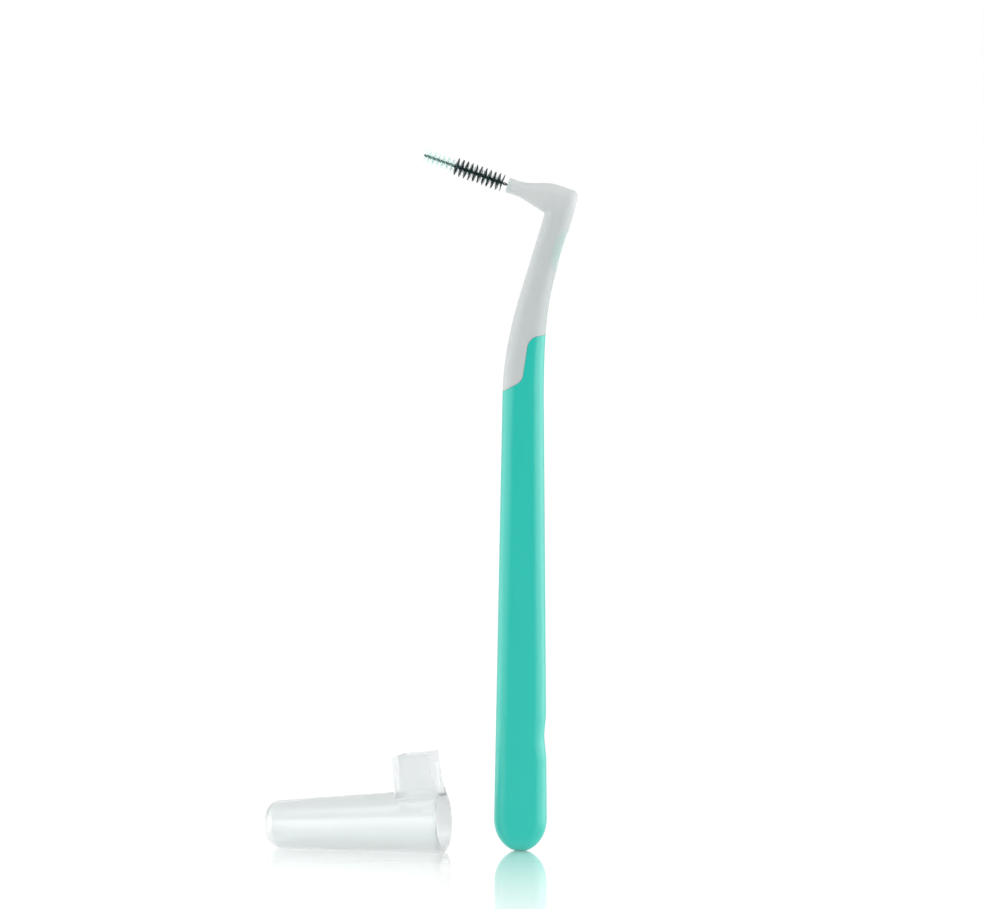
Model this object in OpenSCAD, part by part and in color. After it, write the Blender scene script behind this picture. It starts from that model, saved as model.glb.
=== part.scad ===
// Interdental brush with a long angled handle, standing on its tail, and its travel cap beside it.
// Millimetres, +Z up. The origin is the lowest point of the tail. The head points along -X.
// The green handle is moulded over the core of the white neck, whose nose holds the twisted wire.

/* [Handle] */
// Length along the stick's spine, from the tail to the elbow's inner corner
stick_len = 124.2; // [118:0.1:132]
// Width of the handle above its rounded tail
tail_w = 10.3; // [9:0.1:12]
// Height of the rounded tail
tail_h = 6.2; // [5:0.1:8]
// Width of the handle where the bend begins
hip_w = 8.05; // [7:0.05:9]
// Thickness of the handle, side to side
handle_t = 5.4; // [4.8:0.1:6.5]
// Rounding of the handle's long edges
handle_edge = 2.6; // [1.6:0.1:2.8]
// Lean of the straight handle
handle_lean = 0.35; // [0:0.05:1]
// Height of the thumb notch on the back edge
notch_z = 22.3; // [15:0.1:40]
// Length of the thumb notch
notch_len = 9.5; // [6:0.5:14]
// Depth of the thumb notch
notch_depth = 0.36; // [0:0.02:0.6]

/* [Neck] */
// Distance along the spine from the start of the bend to the elbow's inner corner
bend_below = 35.7; // [32:0.1:42]
// Length of the bend along the spine
bend_len = 25; // [20:0.5:26]
// Lean of the stem above the bend
stem_lean = 16.8; // [12:0.1:20]
// Width of the stem
stem_w = 5.35; // [4.6:0.05:6]
// Thickness of the stem, side to side
stem_t = 4.6; // [4:0.1:4.8]
// Rounding of the stem's long edges
stem_edge = 2.1; // [1.4:0.1:2.4]
// Length of the bare recess on the stem's back edge
recess_len = 7; // [5:0.5:8]
// Width of that recess
recess_w = 1.9; // [1.4:0.1:2.2]
// Depth of that recess
recess_depth = 0.35; // [0.25:0.05:0.5]

/* [Elbow and nose] */
// Rise of the head's axis above the level
head_rise = 19.7; // [15:0.1:25]
// Length of the head, from the elbow's inner fillet to the nose tip
head_len = 8.2; // [7:0.1:10]
// Height of the elbow above the head's axis
elbow_over = 3.32; // [2.6:0.02:3.8]
// Depth of the elbow below the head's axis
elbow_under = 2.59; // [2.1:0.01:3]
// Radius of the elbow's inner fillet
crotch_r = 0.5; // [0.3:0.1:1]
// Diameter of the round nose
nose_d = 2.9; // [2.4:0.1:3.4]
// Length of the straight round nose
nose_len = 2; // [1.5:0.1:3]
// Rounding at the nose tip
nose_edge = 0.22; // [0.1:0.02:0.4]

/* [Parting line] */
// Height of the riser's foot above the start of the bend
part_above = 3; // [2:0.1:4.5]
// Height of the riser between the front and the back of the parting line
part_step = 8.5; // [7:0.1:10]
// Distance of the riser's foot behind the front edge at the start of the bend
riser_foot = 3.78; // [3.4:0.02:4.2]
// Distance of the riser's head behind the front edge at the start of the bend
riser_head = 5.08; // [4.7:0.02:5.4]
// Slope of the parting line in front of the riser
part_front_slope = 28; // [0:1:35]
// Slope of the parting line behind the riser
part_back_slope = 8; // [0:1:15]
// Radius of the lower turn of the parting line
part_low_r = 2.3; // [1.5:0.1:2.8]
// Radius of the upper turn of the parting line
part_high_r = 2.6; // [1.5:0.1:2.8]
// Clearance between the two shots
seam_gap = 0.03; // [0.01:0.01:0.08]

/* [Core inside the handle] */
// Length of the neck's core below the parting line
core_len = 36; // [20:1:60]
// Width of the core
core_w = 4.6; // [3.5:0.1:5]
// Thickness of the core
core_t = 2.4; // [1.8:0.1:2.8]
// Diameter of the keying holes in the core
key_d = 2; // [1.2:0.1:2.4]
// Distance between the keying holes
key_pitch = 14; // [8:1:16]

/* [Wire] */
// Diameter of the wire
wire_d = 0.26; // [0.2:0.01:0.3]
// Length of wire outside the nose
wire_free = 17.2; // [14:0.1:20]
// Length of wire inside the nose
wire_tail = 8.2; // [5:0.1:9]
// Distance from the twist's axis to each leg of the wire
leg_r = 0.18; // [0.17:0.005:0.24]
// Length of one full twist
twist_pitch = 1.88; // [1.6:0.02:2.4]
// Clearance of the wire in the nose
wire_gap = 0.02; // [0.01:0.01:0.05]

/* [Bristles] */
// Bare wire between the nose and the black bristles
bare_wire = 1; // [0.6:0.1:2]
// Length of the black section
black_len = 9.95; // [8:0.05:11]
// Radius of the black section
black_r = 1.8; // [1.4:0.05:2.4]
// Gap between the black and the clear section
section_gap = 0.06; // [0.04:0.01:0.2]
// Length of the clear section
clear_len = 5.9; // [4:0.05:6]
// Radius of the clear section
clear_r = 1.4; // [1:0.05:1.8]
// Half the width of the filament bundle between the wire's legs
web_half_w = 0.36; // [0.33:0.01:0.45]
// Half the thickness of that bundle
web_half_t = 0.03; // [0.02:0.005:0.034]
// Filaments on each side of one full twist
per_turn = 24; // [20:1:26]

/* [Cap] */
// Length of the cap along its axis
cap_len = 35.5; // [33:0.1:42]
// Outer diameter at the mouth
cap_mouth_d = 12.5; // [12:0.1:14]
// Outer diameter at the closed end
cap_end_d = 9.1; // [8:0.1:10]
// Wall of the cap
cap_wall = 1; // [0.7:0.05:1.3]
// Rounding of the closed end
cap_end_round = 2.3; // [1.5:0.1:2.8]
// Rounding of the mouth's rim
rim_round = 0.3; // [0.1:0.05:0.4]
// Turn of the cap about the vertical, with its mouth towards the front
cap_yaw = 15.4; // [0:0.1:20]
// Distance of the mouth's centre to the left of the tail
cap_left = 14.9; // [13:0.1:30]
// Distance of the mouth's centre in front of the tail
cap_front = 3.8; // [0:0.1:6]

/* [Clip on the cap] */
// Clearance on each side of the stem in the clip
clip_gap = 0.25; // [0.15:0.01:0.35]
// Side wall of the clip
clip_wall = 0.95; // [0.8:0.05:1.3]
// Back wall of the clip
clip_back = 1.1; // [0.8:0.05:1.5]
// Length of the clip along the cap's axis
clip_len = 8.6; // [8:0.1:10]
// Distance of the clip behind the plane of the mouth
clip_set = 0.5; // [0.1:0.05:0.8]
// Height of the clip's top above the cap's axis, at the mouth's side
clip_top = 13.5; // [11:0.1:15]
// Lean of the clip towards the closed end
clip_lean = 2; // [0:0.5:9]
// Further lean of the clip's edge at the mouth's side
clip_taper = 4; // [0:0.5:6]
// Slope of the clip's top down towards the closed end
clip_rake = 3; // [0:0.5:6]
// Height of the flare between the clip and the rim
clip_flare = 1.4; // [0.6:0.1:2]
// Height of the lip round the clip's far end
lip_h = 2.1; // [1.2:0.1:2.4]
// Depth of the panels below the lip
panel_depth = 0.25; // [0.1:0.05:0.35]
// Border of the panels at the clip's back
panel_border = 0.8; // [0.5:0.1:1.5]
// Radius of the snap ribs inside the clip
rib_r = 0.45; // [0.3:0.05:0.55]
// Half the width of the saddle under the clip
saddle_half_w = 5.2; // [4.8:0.1:5.5]
// Height of the saddle's ledge above the cap's axis
saddle_h = 4.25; // [3.8:0.05:4.6]
// Length of the saddle
saddle_len = 7.2; // [6:0.1:8]

/* [Hidden] */

// One overrun for every cut
cut = 0.5;
// Facets of the true round faces
$fn = 48;

// Spine of the stick: a straight handle, an arc and a straight stem, in the X-Z plane
bend_from = stick_len - bend_below;
bend_to = bend_from + bend_len;
bend_r = bend_len / ((stem_lean - handle_lean) * PI / 180);
function heading(s) =
    s < bend_from ? handle_lean
    : s < bend_to ? handle_lean + (stem_lean - handle_lean) * (s - bend_from) / bend_len
    : stem_lean;
function along(angle) = [sin(angle), cos(angle)];
function across(angle) = [cos(angle), -sin(angle)];
function arc_step(angle) =
    bend_r * [cos(handle_lean) - cos(angle), sin(angle) - sin(handle_lean)];
function spine(s) =
    s < bend_from ? s * along(handle_lean)
    : s < bend_to ? bend_from * along(handle_lean) + arc_step(heading(s))
    : bend_from * along(handle_lean) + arc_step(stem_lean) + (s - bend_to) * along(stem_lean);

// Blends
function mix(a, b, t) = a + (b - a) * t;
function ramp(from, to, s) = max(0, min(1, (s - from) / (to - from)));
function ease(from, to, s) = let (t = ramp(from, to, s)) t * t * (3 - 2 * t);

// Width and thickness along the stick, with the round tail
tail_r = tail_w / 2;
tail_edge_share = 0.84;
tail_edge = handle_edge * tail_edge_share;
tail_flat_share = 0.2;
tail_drop = tail_h * (1 - sqrt(1 - tail_flat_share * tail_flat_share));
waist_share = 1.08;
// What a rounded end of height h takes off the half width r at a distance s from its end
function end_loss(r, h, s) = s >= h ? 0 : r - r * sqrt(1 - pow(1 - s / h, 2));
function round_loss(r, s) = end_loss(r, r, s);
function straight_w(s) = s < bend_from
    ? mix(tail_w, hip_w, ramp(tail_h, bend_from, s))
    : mix(hip_w, stem_w, ease(bend_from, bend_from + bend_len * waist_share, s));
function stick_w(s) = straight_w(s) - 2 * end_loss(tail_r, tail_h, s + tail_drop);
function stick_t(s) =
    mix(handle_t, stem_t, ease(bend_from, bend_to, s)) - 2 * round_loss(tail_edge, s);
function stick_edge(s) = mix(handle_edge, stem_edge, ease(bend_from, bend_to, s));
function notch(s) = let (d = abs(s - notch_z) / (notch_len / 2))
    d >= 1 ? 0 : notch_depth * pow(cos(90 * d), 2);

// A station is [front point, back point, thickness, edge radius]
function stick_station(s) = [
    spine(s) - across(heading(s)) * stick_w(s) / 2,
    spine(s) + across(heading(s)) * (stick_w(s) / 2 - notch(s)),
    stick_t(s),
    stick_edge(s)
];

// Elbow: the stations fan round the centre of the inner fillet
fan_s = stick_len - crotch_r;
fan_centre = stick_station(fan_s)[0] - crotch_r * across(stem_lean);
head_dir = [-cos(head_rise), sin(head_rise)];
head_up = [sin(head_rise), cos(head_rise)];
elbow_h = elbow_over + elbow_under;
// Heel outline, as shares of the stem's width backwards and of the elbow's height upwards
heel_shares = [[0.975, 0.28], [0.95, 0.54], [0.93, 0.75], [0.9, 0.88], [0.845, 0.96],
    [0.76, 0.997], [0.6, 1], [0.38, 1], [0.14, 1]];
function heel_point(share) = fan_centre - head_dir * (crotch_r + share[0] * stem_w)
    + head_up * (crotch_r + share[1] * elbow_h);
function fan_station(share) = let (
        outer = heel_point(share),
        dir = (outer - fan_centre) / norm(outer - fan_centre)
    ) [fan_centre + crotch_r * dir, outer, stem_t, stem_edge];

// Head: stations square to its axis, at a distance d back from the nose tip
tip = fan_centre + head_len * head_dir + (crotch_r + elbow_under) * head_up;
nose_r = nose_d / 2;
nose_round_share = 0.985;
// Where the widening starts, as a share of the nose, and where it ends, as a share of the head
over_shares = [0.9, 1.15];
under_shares = [1.6, 1];
side_shares = [1.2, 1.05];
function tip_loss(d) = round_loss(nose_edge, d);
function head_over(d) = let (from = nose_len * over_shares[0], to = head_len * over_shares[1])
    mix(nose_r, elbow_over, ease(from, to, d)) - tip_loss(d);
function head_under(d) = let (from = nose_len * under_shares[0], to = head_len * under_shares[1])
    mix(nose_r, elbow_under, ramp(from, to, d)) - tip_loss(d);
function head_t(d) = let (from = nose_len * side_shares[0], to = head_len * side_shares[1])
    mix(nose_d, stem_t, ease(from, to, d)) - 2 * tip_loss(d);
function head_station(d) = [
    tip - head_dir * d - head_up * head_under(d),
    tip - head_dir * d + head_up * head_over(d),
    head_t(d),
    mix(nose_r * nose_round_share - tip_loss(d), stem_edge, ramp(nose_len, head_len, d))
];

// Where the stations stand
tail_turn = 11;
tail_angles = [for (a = [asin(tail_flat_share) : tail_turn : 90]) a];
notch_stations = 8;
handle_stations = 6;
bend_stations = 14;
stem_stations = 3;
head_stations = 12;
core_top_share = 0.85;
tail_s = [for (a = tail_angles) tail_h * (cos(tail_angles[0]) - cos(a))];
notch_s = [for (i = [0 : notch_stations]) notch_z + notch_len * (i / notch_stations - 0.5)];
notch_end = notch_z + notch_len / 2;
handle_s = [for (i = [1 : handle_stations]) mix(notch_end, bend_from, i / handle_stations)];
bend_s = [for (i = [1 : bend_stations]) mix(bend_from, bend_to, i / bend_stations)];
stem_s = [for (i = [1 : stem_stations]) mix(bend_to, fan_s, i / stem_stations)];
head_d = [for (i = [0 : head_stations]) mix(head_len, nose_edge, i / head_stations)];
tip_step_share = 0.25;
tip_d = [nose_edge * tip_step_share, 0];
// The handle's body runs this far past the parting line before it is cut there
grip_spare = 2.4;
bend_shown = ceil((part_above + part_step + grip_spare) / bend_len * bend_stations);
grip_stations = [
    for (s = concat(tail_s, notch_s, handle_s)) stick_station(s),
    for (i = [0 : bend_shown]) stick_station(bend_s[i])
];
neck_stations = [
    for (i = [handle_stations - 2, handle_stations - 1]) stick_station(handle_s[i]),
    for (s = concat(bend_s, stem_s)) stick_station(s),
    for (share = heel_shares) fan_station(share),
    for (d = concat(head_d, tip_d)) head_station(d)
];

// A ring of points round one station: a rectangle with rounded corners, across the X-Z plane
corner_steps = 6;
function ring(station) = let (
        front = station[0],
        back = station[1],
        w = norm(back - front),
        dir = (back - front) / w,
        mid = (front + back) / 2,
        r = min(station[3], min(w, station[2]) * nose_round_share / 2),
        half_w = w / 2 - r,
        half_t = station[2] / 2 - r
    ) [
        for (q = [0 : 3], i = [0 : corner_steps]) let (
            a = 90 * (q + i / corner_steps),
            u = (q == 0 || q == 3 ? half_w : -half_w) + r * cos(a),
            v = (q < 2 ? half_t : -half_t) + r * sin(a)
        ) [mid[0] + dir[0] * u, v, mid[1] + dir[1] * u]
    ];

// A closed solid through a list of rings of equally many points
module skin(rings) {
    n = len(rings[0]);
    last = len(rings) - 1;
    polyhedron(
        points = [for (loop = rings) each loop],
        faces = [
            [for (i = [0 : n - 1]) i],
            for (k = [0 : last - 1], i = [0 : n - 1]) let (j = (i + 1) % n)
                each [
                    [k * n + i, (k + 1) * n + i, (k + 1) * n + j],
                    [k * n + i, (k + 1) * n + j, k * n + j]
                ],
            [for (i = [0 : n - 1]) last * n + n - 1 - i]
        ]
    );
}

// Parting line: a slope at the front, a steep riser between two turns, a slope at the back
turn_steps = 8;
part_wide = tail_w * 2;
bend_start = spine(bend_from);
part_low = bend_start[1] + part_above;
part_high = part_low + part_step;
front_x = bend_start[0] - hip_w / 2;
riser_low = [front_x + riser_foot, part_low];
riser_high = [front_x + riser_head, part_high];
riser_slope = atan2(part_step, riser_head - riser_foot);
function upward(slope) = [cos(slope), sin(slope)];
// A corner between two slopes, rounded with radius r
function turn(corner, slope, next_slope, r) = let (
        side = sign(next_slope - slope),
        start = corner - r * tan(abs(next_slope - slope) / 2) * upward(slope),
        centre = start + side * r * upward(slope + 90)
    ) [
        for (i = [0 : turn_steps])
            centre - side * r * upward(mix(slope, next_slope, i / turn_steps) + 90)
    ];
parting = concat(
    [riser_low - part_wide * upward(part_front_slope)],
    turn(riser_low, part_front_slope, riser_slope, part_low_r),
    turn(riser_high, riser_slope, part_back_slope, part_high_r),
    [riser_high + part_wide * upward(part_back_slope)]
);

// Draws an outline of the X-Z plane through the whole thickness t
module through(t) {
    rotate([90, 0, 0])
        linear_extrude(t, center = true)
            children();
}

module above_parting() {
    through(handle_t + 2 * cut)
        polygon(concat(parting, [[part_wide, stick_len], [-part_wide, stick_len]]));
}

module below_parting() {
    through(handle_t + 2 * cut)
        polygon(concat(parting, [[part_wide, part_low - stick_len], [-part_wide, part_low - stick_len]]));
}

// Core of the neck inside the handle, with its keying holes
core_top = mix(part_low, part_high, core_top_share);
core_foot = part_low - core_len;
key_z = [core_foot + core_w, core_foot + core_w + key_pitch];
module core_outline(grow) {
    translate([-core_w / 2 - grow, core_foot + core_w / 2])
        square([core_w + 2 * grow, core_top - core_foot - core_w / 2 + grow]);
    translate([0, core_foot + core_w / 2])
        circle(core_w / 2 + grow);
}

module core(grow) {
    difference() {
        through(core_t + 2 * grow)
            core_outline(grow);
        for (z = key_z)
            translate([0, 0, z])
                rotate([90, 0, 0])
                    cylinder(d = key_d - 2 * grow, h = handle_t, center = true);
    }
}

module handle_grip() {
    color("mediumturquoise")
        difference() {
            skin([for (s = grip_stations) ring(s)]);
            translate([seam_gap, 0, -seam_gap])
                above_parting();
            core(seam_gap);
        }
}

// Places things along the head's axis, from the nose tip outwards
module on_head() {
    translate([tip[0], 0, tip[1]])
        rotate([0, head_rise - 90, 0])
            children();
}

bore_r = leg_r + wire_d / 2 + wire_gap;
recess_share = 0.47;
recess_s = mix(bend_to, fan_s, recess_share);
module recess() {
    at = stick_station(recess_s)[1];
    translate([at[0], 0, at[1]])
        rotate([0, stem_lean, 0])
            translate([-recess_depth, 0, 0])
                rotate([0, 90, 0])
                    linear_extrude(recess_depth + cut) {
                        square([recess_len - recess_w, recess_w], center = true);
                        for (side = [-1, 1])
                            translate([side * (recess_len - recess_w) / 2, 0])
                                circle(d = recess_w);
                    }
}

module neck() {
    color("whitesmoke")
        difference() {
            union() {
                difference() {
                    skin([for (s = neck_stations) ring(s)]);
                    below_parting();
                }
                core(0);
            }
            on_head()
                translate([0, 0, -wire_tail - wire_gap])
                    cylinder(r = bore_r, h = wire_tail + wire_gap + cut);
            recess();
        }
}

// One wire, folded at the tip: up one side of the twist, round the fold and down the other
wire_sides = 6;
wire_rings_per_turn = 8;
fold_steps = 4;
wire_end = wire_free - leg_r - wire_d / 2;
wire_steps = ceil((wire_end + wire_tail) / twist_pitch * wire_rings_per_turn);
function twist(z) = 360 * (z - bare_wire) / twist_pitch;
function leg_dir(z) = [-sin(twist(z)), cos(twist(z)), 0];
function wire_z(i) = mix(-wire_tail, wire_end, i / wire_steps);
// Each entry is [centre, outward direction]
wire_path = [
    for (i = [0 : wire_steps]) let (z = wire_z(i), out = leg_dir(z))
        [leg_r * out + [0, 0, z], out],
    for (i = [1 : fold_steps - 1]) let (
        a = 180 * i / fold_steps,
        out = leg_dir(wire_end) * cos(a) + [0, 0, sin(a)]
    )
        [leg_r * out + [0, 0, wire_end], out],
    for (i = [wire_steps : -1 : 0]) let (z = wire_z(i), out = -leg_dir(z))
        [leg_r * out + [0, 0, z], out]
];
function wire_tangent(k) = let (
        last = len(wire_path) - 1,
        step = wire_path[min(last, k + 1)][0] - wire_path[max(0, k - 1)][0]
    ) k == 0 ? [0, 0, 1] : k == last ? [0, 0, -1] : step / norm(step);
function wire_ring(k) = let (
        side = cross(wire_tangent(k), wire_path[k][1]),
        b = side / norm(side),
        a = cross(b, wire_tangent(k))
    ) [
        for (i = [0 : wire_sides - 1])
            wire_path[k][0] + wire_d / 2 * (a * cos(360 * i / wire_sides) + b * sin(360 * i / wire_sides))
    ];

module wire() {
    color("darkslategray")
        on_head()
            skin([for (k = [0 : len(wire_path) - 1]) wire_ring(k)]);
}

// Filaments: a bundle twisted with the wire, with one strand on each side at every step
strand_tip_share = 0.62;
function web_corner(z, side, edge) = let (t = twist(z)) [
    side * web_half_w * cos(t) - edge * web_half_t * sin(t),
    side * web_half_w * sin(t) + edge * web_half_t * cos(t),
    z
];
function strand_tip(z, step, side, edge, end, r) = let (
        t = twist(z + step / 2),
        e = edge * web_half_t * strand_tip_share,
        s = side * r
    ) [s * cos(t) - e * sin(t), s * sin(t) + e * cos(t), z + step / 2 + end * step / 2 * strand_tip_share];

// from: start of the section, length: its length, r: its radius
module filaments(from, length, r) {
    steps = round(length / twist_pitch * per_turn);
    step = length / steps;
    base = 4 * (steps + 1);
    corners = [[1, -1], [1, 1], [-1, 1], [-1, -1]];
    polyhedron(
        points = [
            for (k = [0 : steps], c = corners) web_corner(from + k * step, c[0], c[1]),
            for (k = [0 : steps - 1], side = [1, -1], c = [[-1, -1], [1, -1], [1, 1], [-1, 1]])
                strand_tip(from + k * step, step, side, side * c[0], c[1], r)
        ],
        faces = [
            [0, 1, 2], [0, 2, 3],
            for (k = [0 : steps - 1]) each let (
                p = 4 * k,
                q = 4 * (k + 1),
                tips = base + 8 * k
            ) [
                each wall([q + 1, q + 2, p + 2, p + 1]),
                each wall([q + 3, q, p, p + 3]),
                each strand([p, p + 1, q + 1, q], [tips, tips + 1, tips + 2, tips + 3]),
                each strand([p + 2, p + 3, q + 3, q + 2], [tips + 4, tips + 5, tips + 6, tips + 7])
            ],
            let (q = 4 * steps) each [[q, q + 2, q + 1], [q, q + 3, q + 2]]
        ]
    );
}
function wall(f) = [[f[0], f[1], f[2]], [f[0], f[2], f[3]]];
function strand(root, top) = [
    for (i = [0 : 3]) let (j = (i + 1) % 4) each wall([root[i], top[i], top[j], root[j]]),
    each wall([top[0], top[3], top[2], top[1]])
];

module black_bristles() {
    color("dimgray")
        on_head()
            filaments(bare_wire, black_len, black_r);
}

module clear_bristles() {
    color("paleturquoise")
        on_head()
            filaments(bare_wire + black_len + section_gap, clear_len, clear_r);
}

// Cap, drawn with its axis along +X from the closed end to the mouth, and the clip upwards
cap_half_angle = atan((cap_mouth_d - cap_end_d) / 2 / cap_len);
end_steps = 6;
rim_step_share = 0.33;
rim_step = rim_round * rim_step_share;
function cap_side(d, z) = (cap_end_d + (cap_mouth_d - cap_end_d) * z / cap_len) / 2 - d;
function end_arc(d, r) = [
    for (i = [0 : end_steps]) let (a = 90 * i / end_steps)
        [cap_side(d, d + r) - r + r * sin(a), d + r - r * cos(a)]
];
module cap_outside() {
    rotate([0, 90, 0])
        rotate_extrude()
            polygon(concat(
                [[0, 0]],
                end_arc(0, cap_end_round),
                [
                    [cap_side(0, cap_len - rim_round), cap_len - rim_round],
                    [cap_side(rim_step, cap_len), cap_len - rim_step],
                    [cap_side(rim_round, cap_len), cap_len],
                    [0, cap_len]
                ]
            ));
}

module cap_inside() {
    rotate([0, 90, 0])
        rotate_extrude()
            polygon(concat(
                [[0, cap_wall]],
                end_arc(cap_wall, cap_end_round - cap_wall),
                [[cap_side(cap_wall, cap_len + cut), cap_len + cut], [0, cap_len + cut]]
            ));
}

clip_in_w = stem_t + 2 * clip_gap;
clip_out_w = clip_in_w + 2 * clip_wall;
clip_round = clip_back;
clip_root_share = 0.8;
clip_foot = cap_side(cap_wall, cap_len - clip_len) - cut;
// Point of the clip: back from the mouth by d, up from the axis by h, with the clip's lean
function clip_point(d, h) = [cap_len - d - (h - clip_foot) * tan(clip_lean), h];
function clip_edge(h) = clip_point(clip_set, h) - [(h - clip_foot) * tan(clip_taper), 0];
module clip_block() {
    rim_h = cap_side(0, cap_len);
    drop = (clip_len - clip_set) * tan(clip_rake);
    round_centre = clip_point(clip_len, clip_top - drop) + [clip_round, -clip_round];
    through(clip_out_w)
        polygon(concat(
            [[cap_len - rim_round, rim_h * clip_root_share], clip_point(clip_len, clip_foot)],
            [for (i = [0 : end_steps]) let (a = 180 - 90 * i / end_steps)
                round_centre + clip_round * [cos(a), sin(a)]],
            [
                clip_edge(clip_top),
                clip_edge(rim_h + clip_flare),
                [cap_len - rim_round, rim_h]
            ]
        ));
}

module clip_inside() {
    through(clip_in_w)
        polygon([
            clip_point(clip_len - clip_back, 0),
            clip_point(clip_len - clip_back, clip_top + cut),
            clip_point(-cap_wall - clip_len, clip_top + cut),
            clip_point(-cap_wall - clip_len, 0)
        ]);
}

module clip_panels() {
    foot = cap_side(0, cap_len);
    for (side = [-1, 1])
        translate([0, side * clip_out_w / 2, 0])
            through(2 * panel_depth)
                polygon([
                    clip_point(clip_len - panel_border, foot),
                    clip_point(clip_len - panel_border, clip_top - lip_h),
                    clip_point(-cut, clip_top - lip_h),
                    clip_point(-cut, foot)
                ]);
}

module snap_ribs() {
    foot = cap_side(0, cap_len);
    reach = clip_top - lip_h - foot;
    for (side = [-1, 1])
        translate([clip_point(clip_wall + rib_r, foot)[0], side * clip_in_w / 2, foot])
            rotate([0, -clip_lean, 0])
                cylinder(r = rib_r, h = reach);
}

module saddle() {
    translate([cap_len - saddle_len, -saddle_half_w, 0])
        cube([saddle_len - rim_round, 2 * saddle_half_w, saddle_h]);
}

module lay_cap() {
    translate([-cap_left, -cap_front, 0])
        rotate([0, 0, -cap_yaw])
            translate([-cap_len * cos(cap_half_angle), 0, cap_end_d / 2 * cos(cap_half_angle)])
                rotate([0, -cap_half_angle, 0])
                    children();
}

module cap() {
    color("lightcyan")
        lay_cap()
            difference() {
                union() {
                    difference() {
                        union() {
                            cap_outside();
                            clip_block();
                            saddle();
                        }
                        clip_inside();
                        clip_panels();
                    }
                    snap_ribs();
                }
                cap_inside();
            }
}

handle_grip();
neck();
wire();
black_bristles();
clear_bristles();
cap();
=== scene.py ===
"""Looks of a long-handled angled interdental brush and its travel cap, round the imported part.

All lengths are in metres and all places are in the part's own frame: +Z up the handle, the head
points to -X, and +Y goes away from the camera. The brush stands on its tail at the origin.
"""

import logging
import math
from dataclasses import dataclass, field
from enum import Enum
from typing import ClassVar

import bpy
import numpy as np
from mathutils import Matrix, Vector


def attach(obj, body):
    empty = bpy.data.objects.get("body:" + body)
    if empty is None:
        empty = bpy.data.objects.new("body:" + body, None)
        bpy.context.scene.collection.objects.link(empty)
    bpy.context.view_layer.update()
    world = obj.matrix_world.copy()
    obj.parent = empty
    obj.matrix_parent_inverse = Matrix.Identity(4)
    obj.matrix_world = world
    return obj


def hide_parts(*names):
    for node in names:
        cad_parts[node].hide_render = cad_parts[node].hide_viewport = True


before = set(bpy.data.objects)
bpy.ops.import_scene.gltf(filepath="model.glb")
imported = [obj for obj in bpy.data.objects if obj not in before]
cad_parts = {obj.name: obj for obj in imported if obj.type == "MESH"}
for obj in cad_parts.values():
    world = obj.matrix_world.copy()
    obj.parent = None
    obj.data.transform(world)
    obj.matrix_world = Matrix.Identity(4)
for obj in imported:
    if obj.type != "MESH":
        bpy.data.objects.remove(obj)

LOG = logging.getLogger("interdental_brush")
MM = 0.001
FULL_TURN = 2 * math.pi
PURE_WHITE = (1.0, 1.0, 1.0, 1.0)

Colour = tuple[float, float, float]
Place = tuple[float, float, float]
Sizes = tuple[float, float, float]
Span = tuple[float, float]
Faces = list[tuple[int, ...]]
Socket = bpy.types.NodeSocket


class Section(Enum):
    """The two groups of filaments along the twisted wire."""

    BLACK = "black_bristles"
    CLEAR = "clear_bristles"


class Body(Enum):
    """The bodies of the part, by their names in the frame."""

    BRUSH = "brush"
    CAP = "cap"


class Axis(Enum):
    """An axis of the part's frame."""

    X = "X"
    Y = "Y"
    Z = "Z"


class Rise(Enum):
    """How a value goes from one end of its range to the other."""

    EVEN = "LINEAR"
    SOFT = "SMOOTHSTEP"


@dataclass(frozen=True)
class SoftRegion:
    """A soft-edged ellipsoid in the part's frame, turned about the Y axis by lean degrees."""

    centre: Place
    reach: Sizes
    lean: float = 0.0


@dataclass(frozen=True)
class TonePatch:
    """A region where a piece has another colour."""

    colour: Colour
    region: SoftRegion


class Nodes:
    """A node tree, with short calls that add and join its nodes."""

    def __init__(self, tree: bpy.types.NodeTree) -> None:
        """Start with an empty tree.

        Args:
            tree: The tree to fill.
        """
        self.tree = tree
        self.tree.nodes.clear()

    def add(self, kind: str, **settings: object) -> bpy.types.Node:
        """Add a node and set its properties.

        Args:
            kind: The node's type name.
            settings: Properties of the node and their values.

        Returns:
            The new node.
        """
        node = self.tree.nodes.new(kind)
        for name, value in settings.items():
            setattr(node, name, value)
        return node

    def join(self, start: Socket, end: Socket) -> None:
        """Link an output socket to an input socket."""
        self.tree.links.new(start, end)

    def spread(
        self, level: Socket, span: Span, values: Span = (0.0, 1.0), rise: Rise = Rise.EVEN
    ) -> Socket:
        """Turn a level into a value.

        Args:
            level: The level.
            span: The levels where the value begins and ends to change.
            values: The value at the first of these levels and at the second.
            rise: How the value changes between them.

        Returns:
            The value.
        """
        step = self.add("ShaderNodeMapRange", interpolation_type=rise.value)
        sockets = ("From Min", "From Max", "To Min", "To Max")
        for name, value in zip(sockets, (*span, *values)):
            step.inputs[name].default_value = value
        self.join(level, step.inputs["Value"])
        return step.outputs["Result"]


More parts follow.
